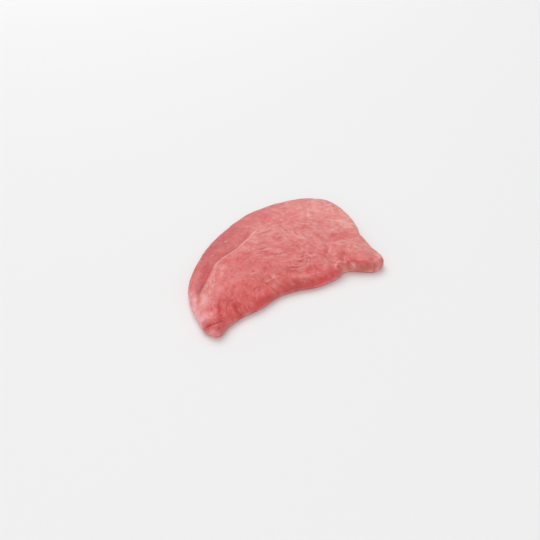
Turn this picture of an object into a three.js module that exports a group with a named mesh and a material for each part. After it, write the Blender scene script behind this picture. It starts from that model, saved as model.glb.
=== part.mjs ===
import * as THREE from "three";

// Raw veal escalope: one boneless slice, laid out flat on its cut underside.
// A thin strip of muscle curves round the back of a thicker inner muscle, a step marks the
// seam between them, and a short tail of the same slice turns out at the right front.
// Millimetres, +Z up, the origin on the ground under the middle of the slice's length and
// width. +X runs along the front edge from the narrow tip to the tail, +Y to the round back.

// Thickness of the slice: the strip's, and how far the inner muscle rises over it
const stripHeight = 8.5;
const lobeRise = 4;

// Its rounded edge: height of the widest line, tuck of the underside, width of the rounding
const rimHeight = 3.5;
const footInset = 2.5;
const rearRoll = 5.5;
const frontRoll = 6;
const tailRoll = 2.4;
const tipRoll = 5;

// Towards the front edge and the tail's, the top falls this far over this distance
const frontFall = 5;
const frontReach = 26;
const tailFall = 2.4;
const tailReach = 17;

// Edge of the slice seen from above, through the tip, left side, back, right side, tail and front
const edgePoints = [
  [-75, -60], [-80.5, -51], [-79.5, -41], [-77, -24], [-69, -5], [-54, 14], [-35, 32],
  [-14, 45], [7, 55.5], [28, 59], [49, 58.5], [67, 52.5], [80.5, 37], [80.5, 16],
  [74, -6], [65.5, -21.5], [61.5, -40], [58, -55.5], [47, -58.5], [35, -49.5],
  [29, -48], [21, -51], [5, -51.5], [-11, -47], [-25, -46.5], [-39, -50.5],
  [-53, -51.5], [-65, -55],
];

// Seam between the strip and the inner muscle, from beyond the left side to beyond the right
const seamPoints = [
  [-86, -47], [-76, -35], [-69, -22.5], [-57, -11], [-45, 1], [-28, 8], [-11, 17],
  [2.5, 26], [16, 28.5], [30, 24], [45.5, 18.5], [56, 8], [62, -1], [69, -8], [80, -17],
];

// The inner muscle's rounded shoulder starts stepLead behind the seam and is stepWidth wide,
// and a groove with the given half width runs along its foot, grooveOffset behind the seam
const stepWidth = 7;
const stepLead = 1;
const grooveDepth = 1.2;
const grooveWidth = 4;
const grooveOffset = 2.5;

// Along X the step fades in from the left tip and sinks again towards the right side
const stepStart = -78;
const stepFull = -50;
const stepSinkStart = 20;
const stepSinkEnd = 65;
const stepSink = 0.6;

// Along X the tip ends and the tail begins, and along Y the front ends, between these places
const tipShareFull = -72;
const tipShareEnd = -60;
const tailShareStart = 10;
const tailShareFull = 32;
const frontSlopeFull = -45;
const frontSlopeEnd = -10;
const frontRollFull = -50;
const frontRollEnd = -20;
const tailRollFull = -30;
const tailRollEnd = -5;

// Broad swells and hollows: middle, half length and half width, turn in degrees, rise
const swells = [
  { x: -6, y: -14, length: 48, width: 24, turn: 10, rise: 1.4 },
  { x: 43, y: -17, length: 15, width: 5, turn: -6, rise: -1.8 },
  { x: 47, y: -28, length: 16, width: 6, turn: -3, rise: 0.8 },
  { x: -70, y: -50, length: 9, width: 7, turn: 0, rise: 1.2 },
  { x: 62, y: 34, length: 20, width: 14, turn: 60, rise: 0.8 },
  { x: -58, y: 2, length: 16, width: 6, turn: 50, rise: 0.6 },
  { x: 18, y: -42, length: 8, width: 6, turn: 20, rise: 0.8 },
];

// Creases: depth, half width, and the path of the bottom of the crease
const creases = [
  { depth: 1.3, width: 3.5, path: [[31, -22], [29, -31], [24, -36], [22, -43], [25, -45]] },
  { depth: 1.7, width: 2, path: [[36, -38], [32, -43], [29.5, -46], [28.5, -51]] },
  { depth: 1.8, width: 1.6, path: [[-85, -49], [-80, -51.5], [-75, -54], [-71, -55], [-66, -54]] },
  { depth: 1.3, width: 1.8, path: [[-61, -36], [-64, -42], [-67, -50], [-69, -55]] },
  { depth: 1.6, width: 2.2, path: [[-54, -43], [-56, -56]] },
  { depth: 1.4, width: 1.3, path: [[53, -53], [49.5, -54.5], [47, -57], [46, -62]] },
  { depth: 1, width: 2, path: [[-28, -36], [-24, -42], [-22, -52]] },
];

// Fine swelling of the soft surface: height, wave lengths along and across the fibres
const rippleHeight = 0.16;
const rippleLength = 23;
const rippleWidth = 11;
const fibreTurn = -12;

// Fineness of the solid: points round the edge, and rings from the edge inwards
const around = 180;
const topRings = 26;
const footFractions = [0.01, 0.04, 0.1, 0.28];
const ringCrowding = 1.6;
const coreCrowding = 0.5;
const curveSteps = 12;

// The rings run from the edge in to a line from the tip, along the seam and into the tail
const corePoints = [
  [-71, -45], [-66, -28], ...seamPoints.slice(3, 11), [53, 8], [56, -8], [53, -28], [49.5, -46.5],
];

// Share of the way round the edge, from the tip past the back, to the end of the tail
const backShare = 0.729;

// The smooth curve through the given points
function curveThrough(points, closed) {
  const corners = points.map(([x, y]) => new THREE.Vector3(x, y, 0));
  return new THREE.CatmullRomCurve3(corners, closed, "catmullrom", 0.5);
}

// Distance from a place to a line, the side of the line it is on (+1 to the right of the
// line's direction) and how far along the line the nearest point is, from 0 to 1
function nearest(line, x, y) {
  const found = { distance: Infinity, side: 1, along: 0 };
  for (let i = 0; i + 1 < line.length; i += 1) {
    const dx = line[i + 1].x - line[i].x;
    const dy = line[i + 1].y - line[i].y;
    const px = x - line[i].x;
    const py = y - line[i].y;
    const share = THREE.MathUtils.clamp((px * dx + py * dy) / (dx * dx + dy * dy), 0, 1);
    const distance = Math.hypot(px - share * dx, py - share * dy);
    if (distance < found.distance) {
      found.distance = distance;
      found.side = dx * py - dy * px > 0 ? -1 : 1;
      found.along = (i + share) / (line.length - 1);
    }
  }
  return found;
}

const edgeCurve = curveThrough(edgePoints, true);
const coreCurve = curveThrough(corePoints, false);
const edge = edgeCurve.getPoints(edgePoints.length * curveSteps);
const seam = curveThrough(seamPoints, false).getPoints(seamPoints.length * curveSteps);
for (const crease of creases) {
  crease.line = curveThrough(crease.path, false).getPoints(2 * curveSteps);
}

// Height of a swell or hollow, a round hill with the half sizes given
function swellHeight(swell, x, y) {
  const turn = THREE.MathUtils.degToRad(swell.turn);
  const u = (x - swell.x) * Math.cos(turn) + (y - swell.y) * Math.sin(turn);
  const v = (y - swell.y) * Math.cos(turn) - (x - swell.x) * Math.sin(turn);
  return swell.rise * Math.exp(-((u / swell.length) ** 2) - (v / swell.width) ** 2);
}

// Depth of a crease, which runs out at both of its ends
function creaseDepth(crease, x, y) {
  const near = nearest(crease.line, x, y);
  const fade = Math.sin(Math.PI * THREE.MathUtils.clamp(near.along, 0.02, 0.98)) ** 0.6;
  return crease.depth * fade * Math.exp(-((near.distance / crease.width) ** 2));
}

// Uneven swelling of the soft meat, longer along the fibres than across them
function ripple(x, y) {
  const turn = THREE.MathUtils.degToRad(fibreTurn);
  const u = (x * Math.cos(turn) + y * Math.sin(turn)) / rippleLength;
  const v = (y * Math.cos(turn) - x * Math.sin(turn)) / rippleWidth;
  const waves = Math.sin(2 * Math.PI * (v + 0.35 * Math.sin(4 * u)));
  return rippleHeight * (waves + Math.sin(2 * Math.PI * (u - 0.6 * Math.sin(3 * v))));
}

// How far a place belongs to the tip and to the tail, from 0 to 1
function regionShares(x) {
  const tip = 1 - THREE.MathUtils.smoothstep(x, tipShareFull, tipShareEnd);
  const tail = THREE.MathUtils.smoothstep(x, tailShareStart, tailShareFull);
  return { tip, tail };
}

// Height of a quarter ellipse above its foot, at a share of its width from 0 to 1
function quarterEllipse(share) {
  const t = THREE.MathUtils.clamp(share, 0, 1);
  return Math.sqrt(1 - (1 - t) ** 2);
}

// How far the top falls towards the front edge: less in the tail, and not at all at the tip
function frontSlope(x, y, fromEdge) {
  const front = 1 - THREE.MathUtils.smoothstep(y, frontSlopeFull, frontSlopeEnd);
  const { tip, tail } = regionShares(x);
  const slope = (fall, reach) => fall * (1 - THREE.MathUtils.smoothstep(fromEdge, 0, reach));
  const atFront = (1 - tail) * (1 - tip) * slope(frontFall, frontReach);
  return front * (atFront + tail * slope(tailFall, tailReach));
}

// Thickness of the slice away from its edge
function sliceHeight(x, y, fromEdge) {
  const fromSeam = nearest(seam, x, y);
  const inward = fromSeam.distance * fromSeam.side;
  const fadeIn = THREE.MathUtils.smoothstep(x, stepStart, stepFull);
  const sink = THREE.MathUtils.smoothstep(x, stepSinkStart, stepSinkEnd);
  const shoulder = quarterEllipse((inward + stepLead) / stepWidth);
  const groove = Math.exp(-(((inward + grooveOffset) / grooveWidth) ** 2));
  let height = stripHeight + ripple(x, y) - frontSlope(x, y, fromEdge);
  height += lobeRise * fadeIn * (1 - stepSink * sink) * shoulder;
  height -= grooveDepth * fadeIn * (1 - sink) * groove;
  for (const swell of swells) {
    height += swellHeight(swell, x, y);
  }
  for (const crease of creases) {
    height -= creaseDepth(crease, x, y);
  }
  return height;
}

// Width of the rounded edge: wide along the front and the back, narrow round the tail, whose
// front ends further back
function rollWidth(x, y) {
  const { tip, tail } = regionShares(x);
  const frontFull = THREE.MathUtils.lerp(frontRollFull, tailRollFull, tail);
  const frontEnd = THREE.MathUtils.lerp(frontRollEnd, tailRollEnd, tail);
  const front = 1 - THREE.MathUtils.smoothstep(y, frontFull, frontEnd);
  const alongFront = THREE.MathUtils.lerp(frontRoll, tailRoll, tail);
  return THREE.MathUtils.lerp(rearRoll, THREE.MathUtils.lerp(alongFront, tipRoll, tip), front);
}

// Top surface: a quarter ellipse rises from the rim to the slice's full thickness
function topHeight(x, y) {
  const fromEdge = nearest(edge, x, y).distance;
  const rise = quarterEllipse(fromEdge / rollWidth(x, y));
  return rimHeight + (sliceHeight(x, y, fromEdge) - rimHeight) * rise;
}

// Underside: a quarter ellipse tucks in from the rim to the flat ground
function footHeight(x, y) {
  return rimHeight * (1 - quarterEllipse(nearest(edge, x, y).distance / footInset));
}

// Places round the edge and, for each, the place on the core line that its ring points run
// to. The back half of the edge and the front half share the same places on that line.
function edgeAndCore() {
  const half = around / 2;
  const pairs = [];
  for (let i = 0; i < around; i += 1) {
    const share = (i % half) / half;
    const atBack = i < half;
    const rimShare = atBack ? backShare * share : THREE.MathUtils.lerp(backShare, 1, share);
    const coreShare = atBack ? share : 1 - share;
    pairs.push({ rim: edgeCurve.getPointAt(rimShare), core: coreCurve.getPointAt(coreShare) });
  }
  return pairs;
}

// Fraction of the way to the core line of one ring: rings lie closest at the edge
function ringFraction(ring) {
  const crowded = (ring / topRings) ** ringCrowding;
  return THREE.MathUtils.lerp(crowded, Math.sin(0.5 * Math.PI * crowded), coreCrowding);
}

// One closed skin: rings from the flat underside out to the rim and in over the top
function sliceGeometry() {
  const pairs = edgeAndCore();
  const ringAt = (fraction) => pairs.map(({ rim, core }) => rim.clone().lerp(core, fraction));
  const loops = footFractions.toReversed().map((fraction) => [ringAt(fraction), footHeight]);
  loops.push([ringAt(0), () => rimHeight]);
  for (let ring = 1; ring < topRings; ring += 1) {
    loops.push([ringAt(ringFraction(ring)), topHeight]);
  }
  loops.push([pairs.slice(0, around / 2 + 1).map(({ core }) => core), topHeight]);

  const positions = [];
  for (const [places, heightAt] of loops) {
    for (const { x, y } of places) {
      positions.push(x, y, heightAt(x, y));
    }
  }
  const vertex = (ring, i) => {
    const turn = i % around;
    const onCore = ring === loops.length - 1;
    return ring * around + (onCore ? Math.min(turn, around - turn) : turn);
  };
  const indices = [];
  for (let ring = 0; ring + 1 < loops.length; ring += 1) {
    for (let i = 0; i < around; i += 1) {
      const near = vertex(ring, i);
      const nearNext = vertex(ring, i + 1);
      const far = vertex(ring + 1, i);
      const farNext = vertex(ring + 1, i + 1);
      indices.push(near, far, nearNext, nearNext, far, farNext);
    }
  }
  for (const [a, b, c] of THREE.ShapeUtils.triangulateShape(loops[0][0], [])) {
    indices.push(a, c, b);
  }
  const geometry = new THREE.BufferGeometry();
  geometry.setAttribute("position", new THREE.Float32BufferAttribute(positions, 3));
  geometry.setIndex(indices);
  geometry.computeVertexNormals();
  return geometry;
}

const meat = new THREE.MeshStandardMaterial({ color: 0xd98c86, roughness: 0.45, metalness: 0 });

// The middle of the slice's length and width is brought over the origin
const middle = new THREE.Box3().setFromPoints(edge).getCenter(new THREE.Vector3());
const escalope = new THREE.Mesh(sliceGeometry(), meat);
escalope.name = "escalope";
escalope.position.set(-middle.x, -middle.y, 0);

const slice = new THREE.Group();
slice.add(escalope);

export default slice;
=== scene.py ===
import math

import bpy
import numpy as np
from mathutils import Matrix, Vector


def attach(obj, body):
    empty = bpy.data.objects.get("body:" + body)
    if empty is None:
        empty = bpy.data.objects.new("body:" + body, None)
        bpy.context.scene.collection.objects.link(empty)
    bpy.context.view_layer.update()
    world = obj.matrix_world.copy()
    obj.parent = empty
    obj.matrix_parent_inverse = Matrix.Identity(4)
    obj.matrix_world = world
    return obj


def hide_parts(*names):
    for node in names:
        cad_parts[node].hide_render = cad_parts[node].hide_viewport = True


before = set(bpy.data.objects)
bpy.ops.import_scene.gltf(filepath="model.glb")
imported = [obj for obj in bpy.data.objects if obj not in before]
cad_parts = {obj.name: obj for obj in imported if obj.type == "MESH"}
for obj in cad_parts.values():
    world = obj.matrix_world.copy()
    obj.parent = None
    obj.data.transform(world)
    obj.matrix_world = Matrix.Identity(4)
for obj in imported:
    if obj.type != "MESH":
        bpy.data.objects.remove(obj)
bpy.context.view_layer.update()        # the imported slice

scene = bpy.context.scene
millimetre = 0.001
print("frame loaded")


# Small helpers

def smoothStep(value, low, high):
    # 0 below low, 1 above high, and 3t^2 - 2t^3 between them
    t = np.clip((value - low) / (high - low), 0.0, 1.0)
    return t * t * (3.0 - 2.0 * t)


def mixed(low, high, share):
    return low + (high - low) * share


def curveThrough(points, closed=False, steps=12):
    # Catmull-Rom curve: a cubic over each span, with the slope at a point half the
    # difference of its neighbours; an open curve's ends are continued straight
    points = np.asarray(points, float)
    count = len(points)
    spans = count if closed else count - 1
    at = np.arange(spans * steps + 1) / steps
    span = np.minimum(at.astype(int), spans - 1)
    t = (at - span)[:, None]
    if closed:
        a, b, c, d = (points[(span + k) % count] for k in (-1, 0, 1, 2))
    else:
        first = 2.0 * points[:1] - points[1:2]
        last = 2.0 * points[-1:] - points[-2:-1]
        longer = np.vstack([first, points, last])
        a, b, c, d = (longer[span + k] for k in range(4))
    return 0.5 * (2 * b + (c - a) * t + (2 * a - 5 * b + 4 * c - d) * t ** 2
                  + (3 * b - a - 3 * c + d) * t ** 3)


def evenlyAlong(line, shares):
    # points of a line at the given shares of its length
    length = np.concatenate([[0.0], np.cumsum(np.hypot(*np.diff(line, axis=0).T))])
    return np.stack([np.interp(shares * length[-1], length, line[:, k]) for k in (0, 1)], -1)


def nearestOn(line, x, y):
    # foot of the perpendicular on each straight of the line, kept within its ends: the
    # smallest distance, + to the right of the line and - to the left, and the share along it
    best = np.full(x.shape, np.inf)
    side = np.ones(x.shape)
    along = np.zeros(x.shape)
    for i, (start, end) in enumerate(zip(line[:-1], line[1:])):
        dx, dy = end - start
        px = x - start[0]
        py = y - start[1]
        share = np.clip((px * dx + py * dy) / (dx * dx + dy * dy), 0.0, 1.0)
        gap = np.hypot(px - share * dx, py - share * dy)
        closer = gap < best
        best = np.where(closer, gap, best)
        side = np.where(closer, np.where(dx * py - dy * px > 0.0, -1.0, 1.0), side)
        along = np.where(closer, (i + share) / (len(line) - 1), along)
    return best * side, along


def softNoise(x, y, seed, table=128):
    # gradient noise: each corner of a unit square has a random slope, and the four slopes'
    # heights are blended with 6t^5 - 15t^4 + 10t^3, then times 1.4 to reach about -1 and 1
    turns = np.random.RandomState(seed).uniform(0.0, 2.0 * math.pi, (table, table))
    column = np.floor(x).astype(int)
    row = np.floor(y).astype(int)
    u = x - column
    v = y - row
    blendU = u ** 3 * (u * (6.0 * u - 15.0) + 10.0)
    blendV = v ** 3 * (v * (6.0 * v - 15.0) + 10.0)

    def corner(i, j):
        turn = turns[(column + i) % table, (row + j) % table]
        return np.cos(turn) * (u - i) + np.sin(turn) * (v - j)

    low = mixed(corner(0, 0), corner(1, 0), blendU)
    high = mixed(corner(0, 1), corner(1, 1), blendU)
    return 1.4 * mixed(low, high, blendV)


def unevenShare(x, y, mean, swing, size, seed, least):
    # noise that swings round a mean, kept between the least share and 1
    return np.clip(mean + swing * softNoise(x / size, y / size, seed), least, 1.0)


def hill(place, x, y):
    # round hill of height 1: exp(-(u/length)^2 - (v/width)^2), with u and v turned in plan
    px, py, length, width, turn = place
    turn = math.radians(turn)
    u = (x - px) * math.cos(turn) + (y - py) * math.sin(turn)
    v = (y - py) * math.cos(turn) - (x - px) * math.sin(turn)
    return np.exp(-(u / length) ** 2 - (v / width) ** 2)


# The slice: the same form as its solid, in millimetres, on a much finer grid

seamMiddle = [(-57, -11), (-45, 1), (-28, 8), (-11, 17), (2.5, 26), (16, 28.5), (30, 24), (45.5, 18.5)]
tipFold = [(-81.3, -50.7), (-78.6, -52.5), (-74.3, -54.5), (-69.5, -55.2)]

sliceForm = {
    # the outline, from the tip over the back and the tail to the front
    "edge": [(-75, -60), (-80.5, -51), (-79.5, -41), (-77, -24), (-69, -5), (-54, 14), (-35, 32),
             (-14, 45), (7, 55.5), (28, 59), (49, 58.5), (67, 52.5), (80.5, 37), (80.5, 16),
             (74, -6), (65.5, -21.5), (61.5, -40), (58, -55.5), (47, -58.5), (35, -49.5),
             (29, -48), (21, -51), (5, -51.5), (-11, -47), (-25, -46.5), (-39, -50.5),
             (-53, -51.5), (-65, -55)],
    # the foot of the step, from the tip to the right side
    "seam": [(-86, -47), (-76, -35), (-69, -22.5), *seamMiddle, (56, 8), (62, -1), (69, -8), (80, -17)],
    "rimHeight": 3.5,        # of the widest line of the rounded edge
    "footInset": 2.5,        # how far the underside tucks in
    "stripHeight": 8.5,      # thickness behind the seam
    "lobeRise": 4.0,         # the inner muscle over the strip
    "stepWidth": 7.0,        # the inner muscle's rounded shoulder, from its foot
    "stepLead": 1.0,         # its foot lies this far behind the seam line
    "groove": (1.2, 4.0, 2.5),    # depth, half width and offset of the dip at its foot
    "stepFade": (-78, -50),  # the step fades in along X from the tip
    "stepSink": (20, 65, 0.6),    # and loses this share towards the right side
    "tipEnd": (-72, -60),    # along X, the tip's own shape gives way to the rest
    "tailStart": (10, 32),   # and the rest to the tail's
    "frontBand": (-45, -10),      # the falls reach this far back
    "frontFall": (5.0, 26.0),     # the top falls this far towards the front edge, over this width
    "tailFall": (2.4, 17.0),      # and this far towards the tail's
    "rolls": (5.5, 6.0, 2.4, 5.0),     # width of the rounded edge: back, front, tail and tip
    "rollBands": ((-50, -20), (-30, -5)),    # Y where the front's becomes the back's: middle, tail
    # middle, half sizes and turn of each swell, and its rise
    "swells": [((-6, -14, 48, 24, 10), 1.4), ((43, -17, 15, 5, -6), -1.8),
               ((47, -28, 16, 6, -3), 0.8), ((-70, -50, 9, 7, 0), 1.2), ((62, 34, 20, 14, 60), 0.8),
               ((-58, 2, 16, 6, 50), 0.6), ((18, -42, 8, 6, 20), 0.8)],
    # depth, half width and path of each crease
    "creases": [(1.3, 3.5, [(31, -22), (29, -31), (24, -36), (22, -43), (25, -45)]),
                (1.7, 2.0, [(36, -38), (32, -43), (29.5, -46), (28.5, -51)]),
                (1.8, 1.6, [(-85, -49), (-80, -51.5), (-75, -54), (-71, -55), (-66, -54)]),
                (1.3, 1.8, [(-61, -36), (-64, -42), (-67, -50), (-69, -55)]),
                (1.6, 2.2, [(-54, -43), (-56, -56)]),
                (1.4, 1.3, [(53, -53), (49.5, -54.5), (47, -57), (46, -62)]),
                (1.0, 2.0, [(-28, -36), (-24, -42), (-22, -52)])],
    "creaseFade": (0.02, 0.6),    # least share of the way from an end, and power of the sine
    # the grid's middle line, along the seam and into the tail
    "core": [(-71, -45), (-66, -28), *seamMiddle, (53, 8), (56, -8), (53, -28), (49.5, -46.5)],
    "backShare": 0.729,      # share of the edge from the tip past the back to the tail's end
    "around": 720,
    "topRings": 122,
    "topCrowding": 1.6,      # 1 spreads the rings evenly, more crowds them at the edge
    "footRings": 9,
    "footCrowding": 2.2,
    "footReach": 0.28,       # share of the way to the core that the foot's rings take
    "floorRings": 3,
}

edgeLine = curveThrough(sliceForm["edge"], closed=True)
seamLine = curveThrough(sliceForm["seam"])
planMiddle = 0.5 * (edgeLine.min(axis=0) + edgeLine.max(axis=0))


def sliceGrid(form):
    # plan of the grid: lines run from the edge to a core line along the seam and into the
    # tail; the back and the front of the edge end on the same core points
    half = form["around"] // 2
    count = np.arange(form["around"])
    share = (count % half) / half
    atBack = count < half
    back = form["backShare"]
    rimShare = np.where(atBack, back * share, back + (1.0 - back) * share)
    core = curveThrough(form["core"], steps=40)
    rim = evenlyAlong(curveThrough(form["edge"], closed=True, steps=60), rimShare)
    middle = evenlyAlong(core, np.where(atBack, share, 1.0 - share))
    crowded = (np.arange(form["topRings"]) / form["topRings"]) ** form["topCrowding"]
    top = 0.5 * crowded + 0.5 * np.sin(0.5 * math.pi * crowded)
    inward = np.arange(form["footRings"], 0, -1) / form["footRings"]
    foot = form["footReach"] * inward ** form["footCrowding"]
    flat = mixed(1.0, form["footReach"], np.arange(1, form["floorRings"]) / form["floorRings"])
    fractions = np.concatenate([flat, foot, top])
    plan = rim[None] + (middle - rim)[None] * fractions[:, None, None]
    under = len(flat) + len(foot)
    return plan, middle[:half + 1], under


def regionShares(form, x):
    # 0 to 1: how far a place belongs to the tip and to the tail
    tip = 1.0 - smoothStep(x, *form["tipEnd"])
    tail = smoothStep(x, *form["tailStart"])
    return tip, tail


def sliceHeight(form, x, y, fromEdge, fromSeam):
    # thickness away from the edge: the strip, plus the inner muscle whose shoulder is a
    # quarter ellipse, less a dip along its foot and the fall to the front, plus swells, less
    # creases that run out at both ends
    fade = smoothStep(x, *form["stepFade"])
    sinkStart, sinkEnd, sinkShare = form["stepSink"]
    sink = smoothStep(x, sinkStart, sinkEnd)
    shoulder = np.clip((fromSeam + form["stepLead"]) / form["stepWidth"], 0.0, 1.0)
    rise = form["lobeRise"] * fade * (1.0 - sinkShare * sink)
    height = form["stripHeight"] + rise * np.sqrt(1.0 - (1.0 - shoulder) ** 2)
    depth, width, offset = form["groove"]
    height = height - depth * fade * (1.0 - sink) * np.exp(-((fromSeam + offset) / width) ** 2)
    tip, tail = regionShares(form, x)
    front = 1.0 - smoothStep(y, *form["frontBand"])
    falls = [(form["frontFall"], (1.0 - tail) * (1.0 - tip)), (form["tailFall"], tail)]
    for (fall, reach), share in falls:
        height = height - fall * front * share * (1.0 - smoothStep(fromEdge, 0.0, reach))
    for place, rise in form["swells"]:
        height = height + rise * hill(place, x, y)
    least, power = form["creaseFade"]
    for depth, width, path in form["creases"]:
        gap, along = nearestOn(curveThrough(path), x, y)
        fadeOut = np.sin(math.pi * np.clip(along, least, 1.0 - least)) ** power
        height = height - depth * fadeOut * np.exp(-(gap / width) ** 2)
    return height


def rollWidth(form, x, y):
    # width of the rounded edge, blended between back, front, tail and tip
    back, front, tail, tip = form["rolls"]
    tipShare, tailShare = regionShares(form, x)
    low, high = (mixed(*ends, tailShare) for ends in zip(*form["rollBands"]))
    atFront = 1.0 - smoothStep(y, low, high)
    return mixed(back, mixed(mixed(front, tail, tailShare), tip, tipShare), atFront)


# Fine relief of the cut muscle, in millimetres

relief = {
    "shown": (1.0, 6.0),                   # it fades in over these heights above the floor
    "steep": (0.15, 0.6, 0.5),             # and loses this share where the surface is steep
    "lean": (0.6, -0.8),                   # moves the pattern with the height, for the sides' sake
    "lumps": [(0.35, 15.0, 3), (0.20, 6.0, 5), (0.09, 3.0, 9)],    # height, size and seed
    "fibres": [(0.06, 12.0, 1.0, 11), (0.036, 7.2, 1.9, 13)],      # height, length, closeness, seed
    "fibreWidth": 1.9,
    "fibreWander": (0.9, 19.0, 7),         # strength, size and seed of the noise that bends them
    "fibreSlope": -0.21,                   # of the fibres in the middle
    "fibreBend": (-10.0, 0.0141),          # left of here they turn down towards the tip
    # depth, size, stretch, sharpness and seed of each layer
    "wrinkles": [(0.25, 5.0, 1.8, 0.13, 51), (0.17, 2.8, 1.5, 0.17, 61)],
    "wrinkleBend": (0.7, 1.7),             # strength, and size beside the wrinkle's
    "wrinklePatches": (2.2, 0.3),          # size beside the wrinkle's, and softness
    "stripWrinkles": (0.3, 0.0, 5.0),      # share that shows on the strip, up to this far from it
    "tailWrinkles": (0.5, 30, 50),         # share that is lost towards the right side
    "crackArea": (-3, -14, 32, 20),        # middle and half sizes of the cracked patch
    "cracks": 36,
    "crackSeed": 21,
    "crackSize": (1.0, 3.2, 0.08, 0.30, 0.5),   # shortest, longest, shallowest, deepest, width
    "crackTurn": 24.0,                     # degrees that they stray from the fibres
    "crackBend": 0.08,
    "longCracks": [[(-19, -8), (-11.5, -9.5), (-7, -11.5)], [(-12.5, 2), (-3.5, 0)],
                   [(5.5, -13.5), (13, -15)], [(-9.5, -16.5), (-3.5, -18.5), (0.5, -19)],
                   [(-1, -28), (3, -32.5), (8.5, -31)], [(-17, -4), (-10, -5.5), (-5, -6)],
                   [(5, -24), (9, -26), (13, -25)], [(-24, -10), (-31, -9.5)],
                   [(-13, -33.5), (-5.5, -34.5), (-1.5, -36), (3.5, -37)],
                   [(17.5, 11.5), (18, 6)], [(0, 15), (10, 14)], [(3, -0.5), (11, 1.5)],
                   [(-75.5, -59), (-71, -59)], [(23, -48), (26, -50)], tipFold],
    "longCrackSize": (0.38, 0.6, 0.5, 2.4),     # depth, half width, and its lips' shares of both
    "faintCracks": [[(-15.5, -21), (-17, -26), (-16.5, -32)], [(-33, -27), (-29, -25.5)],
                    [(-49.5, -33), (-51.5, -37), (-55.5, -39)], [(-59, -41), (-62, -47)],
                    [(-60, -44.5), (-64.5, -50), (-65.5, -53)], [(-44, -38), (-45, -41)]],
    "faintCrackSize": (0.18, 0.9, 0.4),    # depth, half width, and share of the painted crack shade
    "bulges": [((49, -9, 9, 5.5, -20), 0.8), ((21, -39, 4, 3, 20), 0.4),    # as the form's swells
               ((-76, -57.5, 5, 2.5, 0), 0.5)],
    "strands": [[(35, 43), (34, 37), (32, 33)], [(34, 37), (38, 38), (42, 40)],
                [(53, 30), (50, 25), (48, 21)], [(33, -28), (28, -32), (23, -35.5)],
                [(20.5, -49), (23, -46), (26.5, -44.5), (33, -45.5)],
                [(33.5, -47.5), (36, -50), (36.5, -52)], [(26, -38), (31, -37)],
                [(30, -24), (39, -26.5), (48, -28), (60, -26)], [(36, -25), (39, -29), (43, -33)],
                [(-20, -35.5), (-24, -37.5)], [(-34, -27.5), (-26.5, -28)], [(-28, -36.5), (-24, -37)],
                [(-1, 35), (3, 36)], [(-26, 25), (-22, 26)], [(-43, 13), (-39, 14)]],
    "strandSize": (0.25, 0.65),            # height and half width of pale strands of membrane
}


def fibreSlope(x):
    start, bend = relief["fibreBend"]
    return relief["fibreSlope"] + 2.0 * bend * np.maximum(start - x, 0.0)


def acrossFibres(x, y):
    # distance across the fibres: the height over the fibre through the origin, a straight
    # line that becomes a parabola left of the bend, times the cosine of its slope
    start, bend = relief["fibreBend"]
    line = relief["fibreSlope"] * x - bend * np.maximum(start - x, 0.0) ** 2
    return (y - line) / np.sqrt(1.0 + fibreSlope(x) ** 2)


def alongFibres(x):
    return x * np.sqrt(1.0 + fibreSlope(x) ** 2)


def fibreLayers(x, y):
    # sum of noises that are long along the fibres and narrow across them
    wander, wanderSize, wanderSeed = relief["fibreWander"]
    bent = wander * softNoise(x / wanderSize, y / wanderSize, wanderSeed)
    across = acrossFibres(x, y) / relief["fibreWidth"] + bent
    return sum(tall * softNoise(x / length, closeness * across, seed)
               for tall, length, closeness, seed in relief["fibres"])


def wrinkleLayer(x, y, size, stretch, sharpness, seed):
    # valleys exp(-(n/sharpness)^2) along the zero lines of a noise n that is stretched along
    # the fibres and bent by a second noise; a third says where they show
    bend, bendSize = relief["wrinkleBend"]
    patchSize, soft = relief["wrinklePatches"]
    bent = bend * softNoise(x / (bendSize * size), y / (bendSize * size), seed + 1)
    noise = softNoise(alongFibres(x) / (size * stretch) + bent, acrossFibres(x, y) / size - bent, seed)
    patches = softNoise(x / (patchSize * size), y / (patchSize * size), seed + 2)
    return smoothStep(patches, -soft, soft) * np.exp(-(noise / sharpness) ** 2)


def lineMask(paths, width, x, y):
    # the strongest of the lines: exp(-(distance/width)^2), running out at both ends
    mask = np.zeros(x.shape)
    for path in paths:
        gap, along = nearestOn(curveThrough(path), x, y)
        ends = np.sin(math.pi * np.clip(along, 0.0, 1.0)) ** 0.5
        mask = np.maximum(mask, ends * np.exp(-(gap / width) ** 2))
    return mask


def shortCracks(x, y):
    # parabolas of random place, length and bend, nearly along the fibres, whose depth is
    # (1 - (u/half)^2) exp(-(v/width)^2) along and across each
    mask = np.zeros(x.shape)
    draw = np.random.RandomState(relief["crackSeed"])
    cx, cy, halfLength, halfWidth = relief["crackArea"]
    shortest, longest, shallow, deep, thin = relief["crackSize"]
    for _ in range(relief["cracks"]):
        turned = draw.uniform(0.0, 2.0 * math.pi)
        out = math.sqrt(draw.uniform())
        px = cx + halfLength * out * math.cos(turned)
        py = cy + halfWidth * out * math.sin(turned)
        angle = math.atan(fibreSlope(px)) + math.radians(draw.normal(0.0, relief["crackTurn"]))
        half = draw.uniform(shortest, longest)
        cut = draw.uniform(shallow, deep)
        bend = draw.uniform(-relief["crackBend"], relief["crackBend"])
        u = (x - px) * math.cos(angle) + (y - py) * math.sin(angle)
        v = (y - py) * math.cos(angle) - (x - px) * math.sin(angle) - bend * u * u
        line = np.clip(1.0 - (u / half) ** 2, 0.0, 1.0) * np.exp(-(v / thin) ** 2)
        mask = np.maximum(mask, cut * line)
    return mask, deep


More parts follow.
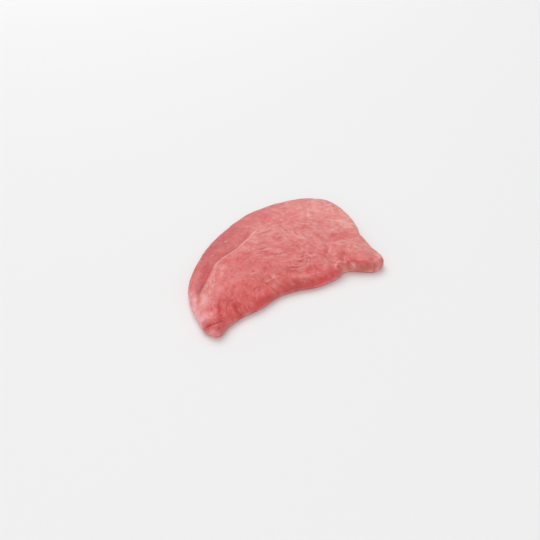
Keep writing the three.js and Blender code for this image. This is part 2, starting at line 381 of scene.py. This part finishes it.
def sliceRelief(x, y, z, fromSeam):
    # sum of soft lumps and of noise along the fibres, less wrinkles and cracks, plus bulges and
    # thin raised strands; gives the height and the wrinkles, cracks (for their painted shade) and strands
    # from 0 to 1
    leanX, leanY = relief["lean"]
    u = x + leanX * z
    v = y + leanY * z
    height = fibreLayers(x, y)
    for tall, size, seed in relief["lumps"]:
        height = height + tall * softNoise(u / size, v / size, seed)
    share, low, high = relief["stripWrinkles"]
    crumbly = mixed(share, 1.0, smoothStep(fromSeam, low, high))
    lost, low, high = relief["tailWrinkles"]
    crumbly = crumbly * (1.0 - lost * smoothStep(x, low, high))
    wrinkle = np.zeros(x.shape)
    for deep, *layer in relief["wrinkles"]:
        line = crumbly * wrinkleLayer(u, v, *layer)
        height = height - deep * line
        wrinkle = np.maximum(wrinkle, line)
    cut, deepest = shortCracks(x, y)
    deep, thin, lips, lipWidth = relief["longCrackSize"]
    line = lineMask(relief["longCracks"], thin, x, y)
    beside = lineMask(relief["longCracks"], lipWidth * thin, x, y) - line
    height = height - cut - deep * (line - lips * beside)
    deep, thin, shown = relief["faintCrackSize"]
    faint = lineMask(relief["faintCracks"], thin, x, y)
    height = height - deep * faint
    crackShade = np.maximum(np.maximum(cut / deepest, line), shown * faint)
    for place, rise in relief["bulges"]:
        height = height + rise * hill(place, x, y)
    rise, width = relief["strandSize"]
    strand = lineMask(relief["strands"], width, x, y)
    return height + rise * strand, wrinkle, crackShade, strand


# Where the meat is redder, paler or fatty, and where shade and light are painted, in millimetres

stains = {         # middle, half sizes and turn of each patch, and its strength
    # deep red patches; those in creases and notches also paint shade
    "bloodAndShade": [((-63.5, -47, 2.2, 7, 18), 1.0), ((-56, -47, 3.2, 6, 0), 0.8), ((-70, -52, 5, 3, 0), 0.8),
              ((-78, -53, 5, 1.8, -30), 0.9), ((24, -46, 1.2, 5, -25), 0.45),
              ((29.5, -47.5, 4, 1.6, 5), 0.55), ((-50, -44.5, 8, 5, 20), 0.65),
              ((-71, -51, 4, 3, 0), 0.5), ((-32, -48, 6, 3, 0), 0.6), ((-66, -49, 3.5, 4, 0), 0.7),
              ((28, -32, 6, 1.4, 38), 0.35), ((-37, 13.5, 5, 2, 35), 0.4), ((-50, 1, 5, 2, 42), 0.45),
              ((-57, -9.5, 6, 2.2, 50), 0.8), ((14, -50, 6, 4, 10), 0.5), ((-72, -59, 5, 3, 0), 0.45)],
    # deep red low on the front, also painted shade where less light reaches the foot
    "edgeBloodAndShade": [((3, -54, 13, 5, 0), 0.95), ((15, -53, 8, 3, 0), 0.65), ((-42, -52, 12, 5, 0), 0.5),
                  ((-70, -58, 5, 3, 10), 0.35)],
    # deep red with painted shade: low on the front face and in the notch near the tip
    "darkAndShade": [((-13, -51, 12, 6, 6), 0.85), ((-24, -51, 6, 4, 0), 1.0), ((-55, -55, 3.5, 4, 0), 1.0)],
    "rose": [((44, -22, 10, 2.5, -8), 0.5), ((-54, -30, 8, 7, 40), 0.7), ((-40, -36, 24, 12, 20), 0.85),
             ((-57, -42, 14, 12, 0), 0.8), ((-10, -42, 30, 7, 0), 0.5), ((-34, -14, 18, 9, 15), 0.8),
             ((-24, -43, 6, 4, 0), 0.6), ((40, 36, 12, 5, -10), 0.85), ((12, 40, 24, 5, 14), 0.3),
             ((-3, -12, 14, 6, 0), 0.35), ((28, -38, 7, 7, 0), 0.5), ((24, 50, 16, 5, 10), 0.4),
             ((-74, -54, 8, 6, 0), 0.7), ((-71, -49, 5, 4, 0), 0.6)],
    # the redder rear muscle; the patch at (-60, -9) also paints shade in the wedge behind the crest
    "strip": [((-31, 23, 40, 10, 32), 0.95), ((-60, -9, 22, 5, 56), 0.6), ((5, 41, 24, 8, 20), 0.5),
              ((25, 52, 12, 5, 0), 0.35), ((41, -21, 7, 3, 0), 0.35)],
    "pale": [((66, 28, 18, 22, 60), 0.8), ((40, 49, 20, 7, 0), 0.4), ((3, 17, 20, 6, 10), 0.6),
             ((52, -36, 15, 13, -30), 0.85), ((24, -10, 15, 15, 0), 0.55), ((55, -52, 6, 7, 0), 0.7),
             ((40, 5, 12, 8, -30), 0.6), ((9, -35, 8, 4, 0), 0.5), ((19, -42, 5, 4, 0), 0.8),
             ((48, -9, 10, 6, -15), 0.75), ((-29, -33, 6, 3, 0), 0.35), ((0, 11, 10, 5, 20), 0.75),
             ((9, 32, 14, 4, 10), 0.5), ((54, -46, 6, 4, 0), 0.8), ((-2, -45, 6, 3, 0), 0.35),
             ((62, -3, 17, 11, -45), 0.9), ((75, 8, 6, 12, 0), 0.95), ((-62, -23, 12, 3, 48), 0.8),
             ((-47, -13, 7, 4, 30), 0.6), ((-11, -4, 7, 5, 0), 0.4), ((11, -32, 7, 4, 0), 0.6)],
    "film": [((-79, -40, 5, 14, 8), 0.95), ((-77, -27, 5, 13, -14), 1.0), ((-69, -33, 7, 6, 45), 0.4),
             ((-81, -52, 2.5, 8, 10), 0.7)],
    "fat": [((59, 6, 5, 1.5, -45), 0.5), ((64, 0, 4, 2, -45), 0.7), ((69, -6, 4, 2.5, -60), 0.8),
            ((73, 3, 2.5, 4, 0), 0.4), ((67, -13, 3, 2, 0), 0.6), ((46, 18, 8, 1.0, -35), 0.35),
            ((28.5, -49, 3, 2.5, 0), 0.5), ((56, -48, 4, 4, 0), 0.3), ((51, -60, 3.5, 4, 0), 0.5)],
    "cut": [((40, -55, 12, 7, -18), 0.95), ((52, -60, 5, 5, 0), 0.3)],
}
stainLines = {     # half width, strength and path of each line
    # deep red lines; those along creases and the tip's fold also paint shade
    "bloodAndShade": [(1.5, 0.9, [(-81.5, -50.5), (-78.6, -52.5), (-74.3, -54.5), (-69.5, -55.2)]),
              (2.0, 1.0, [(-62.5, -39), (-65, -46.5), (-67.3, -51.5), (-69.5, -56)]),
              (1.0, 0.5, [(-48, -31), (-51.5, -37), (-55.5, -39)]),
              (1.3, 0.4, [(36, -19), (41, -22.5), (46, -24), (54, -20)]),
              (1.0, 0.6, [(33, -28), (28, -32), (23, -36)]),
              (1.1, 0.55, [(34, -47.5), (38, -50), (47, -55.5)]),
              (1.5, 0.8, [(2, -49), (6, -50), (11, -50.5), (17, -49.5)])],
    # lines of deep red with painted shade in the creases, the tip's fold and the knob's groove
    "darkAndShade": [(1.3, 0.45, [(-21, -45.5), (-13, -47), (-7, -48.5), (-1, -50)]),
             (2.0, 0.45, [(-57, -46), (-56, -49.5), (-53.5, -53)]),
             (0.7, 0.2, tipFold),
             (1.1, 0.6, [(-64.5, -45), (-66.8, -50.5), (-69, -55)]),
             (0.7, 0.8, [(51, -51), (49, -55.3), (46, -59)]),
             (0.8, 0.25, [(-76, -58.7), (-72.3, -59.2)])],
    "fat": [(1.3, 0.75, [(50, 17), (57, 9), (62, 2), (66, -5), (68, -13)]),
            (1.3, 0.95, [(-20, 11), (-11, 16.2), (2.5, 25.1), (16, 27.6), (30, 23.1), (45.5, 17.4),
                         (56, 7)]),
            (1.6, 0.7, [(66, 4), (63, -5), (63.5, -11), (64.5, -15)])],
    "pale": [(2.5, 0.3, [(30, -24), (40, -27), (50, -27), (62, -24)]),
             # painted light: a pale band just behind the crest that lightens the groove's shade
             (1.7, 0.85, [(-9, 19.5), (2.5, 28), (16, 30.5), (30, 26), (45.5, 20.5)])],
    "film": [(2.5, 0.7, [(-84, -46), (-83, -52), (-79, -58), (-72, -62)])],
}
# these fade out between two distances from the edge
nearEdge = {"edgeBloodAndShade": (3.0, 8.0), "darkAndShade": (2.2, 5.0), "cut": (1.2, 3.2)}
stainNoise = [(0.5, 5.0, 31), (0.3, 2.2, 33)]    # strength, size and seed

paint = {          # colours that follow the form: membrane with painted highlights, and painted shade
    "crestAlong": ((-82, -66), (38, 60)),    # the pale crest, membrane with a painted highlight, fades in and out along X
    "crestAcross": ((-0.5, 0.6), (1.5, 5.0)),     # and over these distances from the seam
    "crestShift": (0.9, -56, -40),           # near the tip it lies this far forward
    "seamShadeAlong": ((-77, -64), (-14, 14)),    # the painted shade behind the crest fades in and out along X
    "contactShade": (1.2, 0.9),                   # the painted contact shade's distance behind the crest and half width
    "shade": (2.2, 2.6),                     # the same for the soft painted shade round it
    "shadeShare": (0.95, 0.45, -58, -40),    # its strength near the tip and further on
    "rim": (1.7, 0.9),                       # height and half height of the pale line at the foot: membrane with a painted highlight
    "rimFront": (38, 46),                    # which shows this far in front of the middle
    "rimNoise": (0.7, 0.9, 7.0, 43, 0.15),   # mean, swing, size, seed and least share
    "strandNoise": (0.8, 0.8, 1.6, 41, 0.2),
}


def stainAt(kind, x, y, fromEdge):
    # the strongest of the kind's patches and lines, made uneven by noise
    total = np.zeros(x.shape)
    for place, strength in stains[kind]:
        total = np.maximum(total, strength * hill(place, x, y))
    for width, strength, path in stainLines.get(kind, []):
        total = np.maximum(total, strength * lineMask([path], width, x, y))
    if kind in nearEdge:
        total = total * (1.0 - smoothStep(fromEdge, *nearEdge[kind]))
    uneven = sum(strength * softNoise(x / size, y / size, seed) for strength, size, seed in stainNoise)
    return np.clip(total * (1.0 + uneven), 0.0, 1.0)


def fadedBetween(value, rising, falling):
    return smoothStep(value, *rising) * (1.0 - smoothStep(value, *falling))


def formMasks(x, y, z, fromSeam, lift, darkAndShade):
    # the pale crest, membrane with a painted highlight; the painted shade behind it (the stronger of two
    # bands exp(-(d/width)^2));
    # and the pale line low on the front, membrane with a painted highlight, which stops on the deep red and
    # painted shade
    shift, low, high = paint["crestShift"]
    crest = fromSeam - shift * (1.0 - smoothStep(x, low, high))
    crestFilmAndHighlight = lift * fadedBetween(x, *paint["crestAlong"]) * fadedBetween(crest, *paint["crestAcross"])
    # painted shade behind the crest: a narrow contact band and a softer band round it
    behind, width = paint["contactShade"]
    contactShade = np.exp(-((crest + behind) / width) ** 2)
    behind, width = paint["shade"]
    atTip, further, low, high = paint["shadeShare"]
    shade = mixed(atTip, further, smoothStep(x, low, high)) * np.exp(-((crest + behind) / width) ** 2)
    seam = lift * fadedBetween(x, *paint["seamShadeAlong"]) * np.maximum(contactShade, shade)
    # pale membrane line low on the front, with a painted highlight
    height, half = paint["rim"]
    rim = np.exp(-((z - height) / half) ** 2) * smoothStep(-y, *paint["rimFront"]) * (1.0 - darkAndShade)
    return {"crestFilmAndHighlight": crestFilmAndHighlight, "seam": seam, "rim": rim * unevenShare(x, y, *paint["rimNoise"])}


def facesOf(rings, around):
    # grid rows run round the slice; the last row is the shared core line, walked out and back
    ring, turn = np.meshgrid(np.arange(rings), np.arange(around), indexing="ij")
    following = (turn + 1) % around

    def index(row, place):
        onCore = np.minimum(place, around - place)
        return row * around + np.where(row == rings, onCore, place)

    near, nearNext = index(ring, turn), index(ring, following)
    far, farNext = index(ring + 1, turn), index(ring + 1, following)
    return np.stack([near, far, farNext, nearNext], -1).reshape(-1, 4)


def vertexNormals(points, faces):
    # sum of the normals of the faces round each point, each weighted by its area
    across = np.cross(points[faces[:, 2]] - points[faces[:, 0]],
                      points[faces[:, 3]] - points[faces[:, 1]])
    total = np.zeros(points.shape)
    for k in range(4):
        np.add.at(total, faces[:, k], across)
    return total / np.maximum(np.linalg.norm(total, axis=1), 1e-12)[:, None]


def sliceSurface(form):
    # top: rim + (thickness - rim) * sqrt(1 - (1 - d/roll)^2); foot: rim * (1 - sqrt(1 - (1 -
    # d/inset)^2)), with d the distance from the edge
    plan, core, under = sliceGrid(form)
    rings, around = plan.shape[:2]
    flat = np.concatenate([plan.reshape(-1, 2), core])
    isFoot = np.arange(len(flat)) < under * around
    x, y = flat.T
    fromEdge = np.abs(nearestOn(edgeLine, x, y)[0])
    fromEdge[under * around:(under + 1) * around] = 0.0
    fromSeam, _ = nearestOn(seamLine, x, y)
    rim = form["rimHeight"]
    inside = np.clip(fromEdge / rollWidth(form, x, y), 0.0, 1.0)
    thickness = sliceHeight(form, x, y, fromEdge, fromSeam)
    top = rim + (thickness - rim) * np.sqrt(1.0 - (1.0 - inside) ** 2)
    tucked = np.clip(fromEdge / form["footInset"], 0.0, 1.0)
    foot = rim * (1.0 - np.sqrt(1.0 - (1.0 - tucked) ** 2))
    points = np.stack([x, y, np.where(isFoot, foot, top)], -1)

    # the bottom is closed by a second walk along the core line
    faces = facesOf(rings, around)
    bottomCore = len(points)
    points = np.concatenate([points, np.stack([core[:, 0], core[:, 1], np.zeros(len(core))], -1)])
    turn = np.arange(around)
    following = (turn + 1) % around
    onCore = bottomCore + np.minimum(turn, around - turn)
    onCoreNext = bottomCore + np.minimum(following, around - following)
    faces = np.concatenate([np.stack([onCore, turn, following, onCoreNext], -1), faces])
    return points, faces


def buildSlice(form):
    # the surface with the relief added along its normals, and the masks for its material
    points, faces = sliceSurface(form)
    normals = vertexNormals(points, faces)
    x, y, z = points.T
    fromEdge = np.abs(nearestOn(edgeLine, x, y)[0])
    fromSeam, _ = nearestOn(seamLine, x, y)
    height, wrinkle, crackShade, strand = sliceRelief(x, y, z, fromSeam)
    lift = smoothStep(z, *relief["shown"])
    low, high, lost = relief["steep"]
    steep = smoothStep(1.0 - normals[:, 2], low, high)
    height = height * (1.0 - lost * steep)
    points = points + normals * (height * lift)[:, None]

    masks = {kind: stainAt(kind, x, y, fromEdge) for kind in stains}
    # the deep red mask also takes the painted shade low on the front
    masks["bloodAndShade"] = np.maximum(masks["bloodAndShade"], masks.pop("edgeBloodAndShade"))
    masks.update(formMasks(x, y, z, fromSeam, lift, masks["darkAndShade"]))
    masks["wrinkle"] = wrinkle * lift
    masks["crackShade"] = crackShade * lift * (1.0 - steep)
    masks["strand"] = strand * lift * unevenShare(x, y, *paint["strandNoise"])
    masks["fibreLength"] = millimetre * alongFibres(x)
    masks["fibreWidth"] = millimetre * acrossFibres(x, y)
    points[:, :2] -= planMiddle
    return points * millimetre, faces, masks


def meshPiece(name, points, faces, material):
    mesh = bpy.data.meshes.new(name)
    mesh.vertices.add(len(points))
    mesh.vertices.foreach_set("co", points.ravel())
    mesh.loops.add(faces.size)
    mesh.loops.foreach_set("vertex_index", faces.ravel())
    mesh.polygons.add(len(faces))
    mesh.polygons.foreach_set("loop_start", np.arange(0, faces.size, 4))
    mesh.polygons.foreach_set("use_smooth", np.ones(len(faces), bool))
    mesh.update(calc_edges=True)
    mesh.validate()
    mesh.materials.append(material)
    piece = bpy.data.objects.new(name, mesh)
    scene.collection.objects.link(piece)
    return piece


# Raw veal: colours are linear, noise scales are for metres

vealLook = {
    "pink": (0.735, 0.20, 0.185, 1),
    "rose": (0.72, 0.12, 0.117, 1),
    "pale": (0.82, 0.355, 0.325, 1),
    # deep red, also painted shade in creases and low on the front
    "deepRedAndShade": (0.70, 0.075, 0.08, 1),
    # the deepest red, also the painted shade in creases and low on the front
    "darkRedAndShade": (0.50, 0.022, 0.028, 1),
    "film": (0.90, 0.46, 0.49, 1),
    # pale crest: membrane with a painted highlight
    "crestFilmAndHighlight": (0.84, 0.37, 0.33, 1),
    # painted shade behind the crest
    "seam": (0.47, 0.055, 0.062, 1),
    "strip": (0.545, 0.08, 0.084, 1),
    # pale membrane line low on the front, with a painted highlight
    "rim": (0.92, 0.52, 0.52, 1),
    "fat": (0.87, 0.49, 0.39, 1),
    "cut": (0.53, 0.14, 0.11, 1),
    "membrane": (0.86, 0.50, 0.46, 1),
    # deep red with painted shade in the cracks
    "crackShade": (0.46, 0.035, 0.032, 1),
    # painted shade in the valleys and wrinkles
    "valleyShadeTint": (0.86, 0.64, 0.63, 1),
    # painted shade of small crumbs
    "crumbShadeTint": (0.91, 0.79, 0.78, 1),
    "noises": {"patches": (60.0, 4.0), "spots": (140.0, 2.0),      # scale and detail
               "blotches": (260.0, 3.0), "specks": (520.0, 2.0)},
    "fibreScale": (110, 700, 600),         # of the fibre pattern along, across and upwards
    "fibreDetail": 3.0,
    "valleyScale": (240, 430, 430),        # of the pattern whose middle value is a valley
    "valleyDetail": (1.0, 0.8),            # detail and distortion
    "valleyWidth": 0.045,                  # of the noise's range, to each side
    "valleyShare": (0.42, 0.58, 0.05, 0.55),      # range of the patches, and share for it
    "mottling": [("patches", 0.42, 0.66, 0.75, "rose"), ("spots", 0.51, 0.68, 0.75, "rose"),
                 ("spots", 0.48, 0.33, 0.5, "pale"), ("fibre", 0.50, 0.72, 0.35, "pale"),
                 ("fibre", 0.46, 0.28, 0.3, "rose")],    # noise, its range, share and colour
    # the seam coat is painted shade behind the crest; the crest's coat is membrane with a painted highlight
    "coats": ("rose", "strip", "pale", "film", "crestFilmAndHighlight", "seam", "cut"),
    "coatNoise": (0.35, 0.62, 0.6, 1.15),         # range of the blotches, and share for it
    "bloodNoise": (0.3, 0.6, 0.65, 1.1),          # the same for the specks in the deep red and painted shade
    "marks": [("darkAndShade", 1.0, "darkRedAndShade"), ("crackShade", 0.65, "crackShade"), ("fat", 1.0, "fat"),
              ("rim", 0.7, "rim"), ("strand", 0.8, "membrane")],    # mask, share and colour
    "flecks": (0.63, 0.70, 0.0, 0.3),             # pale specks, but not where it is folded
    "fleckFold": (0.0, 0.3, 1.0, 0.0),
    "hollows": (0.58, 0.36, 0.0, 1.0),            # painted shade of small crumbs: darker where the blotches are low
    "roughness": (0.3, 0.7, 0.40, 0.62),          # range of the specks, and roughness for it
    "sockets": {"Specular IOR Level": 0.4, "Subsurface Weight": 0.3,
                "Subsurface Radius": (1.0, 0.35, 0.25), "Subsurface Scale": 0.002,
                "Coat Weight": 0.08, "Coat Roughness": 0.3},
    "bumpStrength": 0.7,
    "bumpDistance": 0.00035,               # in metres
    "fibreBump": (0.2, 0.8, 0.0, 0.35),           # range of the noise, and share of the height
    "speckBump": (0.2, 0.8, 0.0, 0.3),
    "valleyBump": (0.0, 1.0, 0.35, 0.0),
}


def scaled(tree, vector, factors):
    node = tree.nodes.new("ShaderNodeVectorMath")
    node.operation = "MULTIPLY"
    node.inputs[1].default_value = factors
    tree.links.new(vector, node.inputs[0])
    return node.outputs["Vector"]


def noiseNode(tree, vector, scale, detail, distortion=0.0):
    node = tree.nodes.new("ShaderNodeTexNoise")
    node.inputs["Scale"].default_value = scale
    node.inputs["Detail"].default_value = detail
    node.inputs["Distortion"].default_value = distortion
    tree.links.new(vector, node.inputs["Vector"])
    return node.outputs["Fac"]


def ranged(tree, value, low, high, newLow, newHigh):
    node = tree.nodes.new("ShaderNodeMapRange")
    for key, number in zip(("From Min", "From Max", "To Min", "To Max"), (low, high, newLow, newHigh)):
        node.inputs[key].default_value = number
    tree.links.new(value, node.inputs["Value"])
    return node.outputs["Result"]


def mixColour(tree, share, below, above, blend="MIX"):
    # below and above are colours or links
    node = tree.nodes.new("ShaderNodeMix")
    node.data_type = "RGBA"
    node.blend_type = blend
    tree.links.new(share, node.inputs[0])
    for socket, value in ((node.inputs[6], below), (node.inputs[7], above)):
        if isinstance(value, tuple):
            socket.default_value = value
        else:
            tree.links.new(value, socket)
    return node.outputs[2]


def maths(tree, operation, first, second):
    # the result is kept between 0 and 1
    node = tree.nodes.new("ShaderNodeMath")
    node.operation = operation
    node.use_clamp = True
    tree.links.new(first, node.inputs[0])
    tree.links.new(second, node.inputs[1])
    return node.outputs[0]


def vealMaterial(look, masks):
    material = bpy.data.materials.new("rawVeal")
    material.use_nodes = True
    tree = material.node_tree
    shader = tree.nodes["Principled BSDF"]
    place = tree.nodes.new("ShaderNodeTexCoord").outputs["Object"]
    mask = {}
    for name in masks:
        node = tree.nodes.new("ShaderNodeAttribute")
        node.attribute_name = name
        mask[name] = node.outputs["Fac"]

    # streaks follow the fibres: noise on the lengths along and across them and on the height
    apart = tree.nodes.new("ShaderNodeSeparateXYZ")
    tree.links.new(place, apart.inputs["Vector"])
    fibrePlace = tree.nodes.new("ShaderNodeCombineXYZ")
    tree.links.new(mask["fibreLength"], fibrePlace.inputs["X"])
    tree.links.new(mask["fibreWidth"], fibrePlace.inputs["Y"])
    tree.links.new(apart.outputs["Z"], fibrePlace.inputs["Z"])
    fibrePlace = fibrePlace.outputs["Vector"]
    noise = {name: noiseNode(tree, place, *settings) for name, settings in look["noises"].items()}
    noise["fibre"] = noiseNode(tree, scaled(tree, fibrePlace, look["fibreScale"]), 1.0, look["fibreDetail"])
    cells = noiseNode(tree, scaled(tree, fibrePlace, look["valleyScale"]), 1.0, *look["valleyDetail"])

    # a thin valley wherever the distorted noise passes its middle value
    width = look["valleyWidth"]
    valley = maths(tree, "MINIMUM", ranged(tree, cells, 0.5 - width, 0.5, 0.0, 1.0),
                   ranged(tree, cells, 0.5, 0.5 + width, 1.0, 0.0))
    valley = maths(tree, "MULTIPLY", valley, ranged(tree, noise["patches"], *look["valleyShare"]))
    fold = maths(tree, "MAXIMUM", valley, mask["wrinkle"])

    colour = look["pink"]
    for name, low, high, share, tone in look["mottling"]:
        colour = mixColour(tree, ranged(tree, noise[name], low, high, 0.0, share), colour, look[tone])
    varied = ranged(tree, noise["blotches"], *look["coatNoise"])
    for name in look["coats"]:
        colour = mixColour(tree, maths(tree, "MULTIPLY", mask[name], varied), colour, look[name])
    # share of deep red with painted shade
    red = maths(tree, "MULTIPLY", mask["bloodAndShade"], ranged(tree, noise["specks"], *look["bloodNoise"]))
    colour = mixColour(tree, red, colour, look["deepRedAndShade"])
    for name, share, tone in look["marks"]:
        colour = mixColour(tree, ranged(tree, mask[name], 0.0, 1.0, 0.0, share), colour, look[tone])
    fleck = maths(tree, "MULTIPLY", ranged(tree, noise["specks"], *look["flecks"]),
                  ranged(tree, fold, *look["fleckFold"]))
    colour = mixColour(tree, fleck, colour, look["membrane"])
    # painted shade of small crumbs, at random places where the blotches are low
    hollow = ranged(tree, noise["blotches"], *look["hollows"])
    colour = mixColour(tree, hollow, colour, look["crumbShadeTint"], "MULTIPLY")
    # painted shade: darker in the valleys and wrinkles
    colour = mixColour(tree, fold, colour, look["valleyShadeTint"], "MULTIPLY")
    tree.links.new(colour, shader.inputs["Base Color"])

    tree.links.new(ranged(tree, noise["specks"], *look["roughness"]), shader.inputs["Roughness"])
    for name, value in look["sockets"].items():
        shader.inputs[name].default_value = value

    height = ranged(tree, noise["fibre"], *look["fibreBump"])
    for value, span in ((noise["specks"], look["speckBump"]), (valley, look["valleyBump"])):
        height = maths(tree, "ADD", height, ranged(tree, value, *span))
    bump = tree.nodes.new("ShaderNodeBump")
    bump.inputs["Strength"].default_value = look["bumpStrength"]
    bump.inputs["Distance"].default_value = look["bumpDistance"]
    tree.links.new(height, bump.inputs["Height"])
    tree.links.new(bump.outputs["Normal"], shader.inputs["Normal"])
    return material


points, faces, masks = buildSlice(sliceForm)
veal = meshPiece("vealSlice", points, faces, vealMaterial(vealLook, masks))
for name, values in masks.items():
    layer = veal.data.attributes.new(name, "FLOAT", "POINT")
    layer.data.foreach_set("value", values.astype(np.float32))
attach(veal, "root")
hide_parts("escalope")
print("slice made:", len(points), "points,", 2 * len(faces), "triangles")


# Camera at the photograph's angle, floor and soft light

cameraPlace = {
    "position": (-178.4, -293.5, 219.1),    # millimetres, before the slice is centred
    "azimuth": -31.0,
    "elevation": 33.9,
    "roll": -1.73,
    "focal": 37.05,
    "sensor": 36.0,
}


def placeCamera(settings):
    # the camera looks along -Z of its own axes, worked out from azimuth, elevation and roll
    azimuth = math.radians(settings["azimuth"])
    elevation = math.radians(settings["elevation"])
    back = Vector((math.sin(azimuth) * math.cos(elevation),
                   -math.cos(azimuth) * math.cos(elevation), math.sin(elevation)))
    right = Vector((math.cos(azimuth), math.sin(azimuth), 0))
    up = back.cross(right)
    turn = Matrix.Rotation(math.radians(settings["roll"]), 3, back)
    right, up = turn @ right, turn @ up
    data = bpy.data.cameras.new("photoCamera")
    data.lens = settings["focal"]
    data.sensor_width = settings["sensor"]
    camera = bpy.data.objects.new("photoCamera", data)
    turned = Matrix((right, up, back)).transposed()
    position = Vector(settings["position"]) - Vector((*planMiddle, 0))
    camera.matrix_world = Matrix.Translation(position * millimetre) @ turned.to_4x4()
    scene.collection.objects.link(camera)
    scene.camera = camera


lighting = {
    "floorColour": (0.86, 0.86, 0.86, 1),
    "floorRoughness": 0.8,
    "floorSize": 6.0,
    "sky": (1.0, 1.0, 1.0, 1),
    "skyStrength": 0.5,
    "backdropStrength": 1.0,               # seen by the camera, as bright as the far floor
    "key": ((0.75, 3.1, 4.25), 4.0, 150.0),      # place, size and power
    "fill": ((-3.0, -3.5, 3.0), 4.5, 100.0),
}


def makeFloor(settings):
    half = 0.5 * settings["floorSize"]
    corners = [(-half, -half, 0), (half, -half, 0), (half, half, 0), (-half, half, 0)]
    mesh = bpy.data.meshes.new("floor")
    mesh.from_pydata(corners, [], [(0, 1, 2, 3)])
    material = bpy.data.materials.new("paleFloor")
    material.use_nodes = True
    shader = material.node_tree.nodes["Principled BSDF"]
    shader.inputs["Base Color"].default_value = settings["floorColour"]
    shader.inputs["Roughness"].default_value = settings["floorRoughness"]
    mesh.materials.append(material)
    floor = bpy.data.objects.new("floor", mesh)
    scene.collection.objects.link(floor)


def softLight(name, place, size, power):
    # a square area light that faces the origin
    data = bpy.data.lights.new(name, "AREA")
    data.size = size
    data.energy = power
    light = bpy.data.objects.new(name, data)
    light.location = place
    light.visible_camera = False
    light.rotation_euler = (-Vector(place)).to_track_quat("-Z", "Y").to_euler()
    scene.collection.objects.link(light)


def makeSky(settings):
    # an even sky that lights the slice less strongly than the backdrop looks
    world = bpy.data.worlds.new("studio")
    world.use_nodes = True
    tree = world.node_tree
    sky = tree.nodes["Background"]
    sky.inputs["Color"].default_value = settings["sky"]
    seen = tree.nodes.new("ShaderNodeLightPath").outputs["Is Camera Ray"]
    strength = ranged(tree, seen, 0.0, 1.0, settings["skyStrength"], settings["backdropStrength"])
    tree.links.new(strength, sky.inputs["Strength"])
    scene.world = world


placeCamera(cameraPlace)
makeFloor(lighting)
softLight("keyLight", *lighting["key"])
softLight("fillLight", *lighting["fill"])
makeSky(lighting)
scene.view_settings.view_transform = "Standard"
print("camera, floor and lights placed")
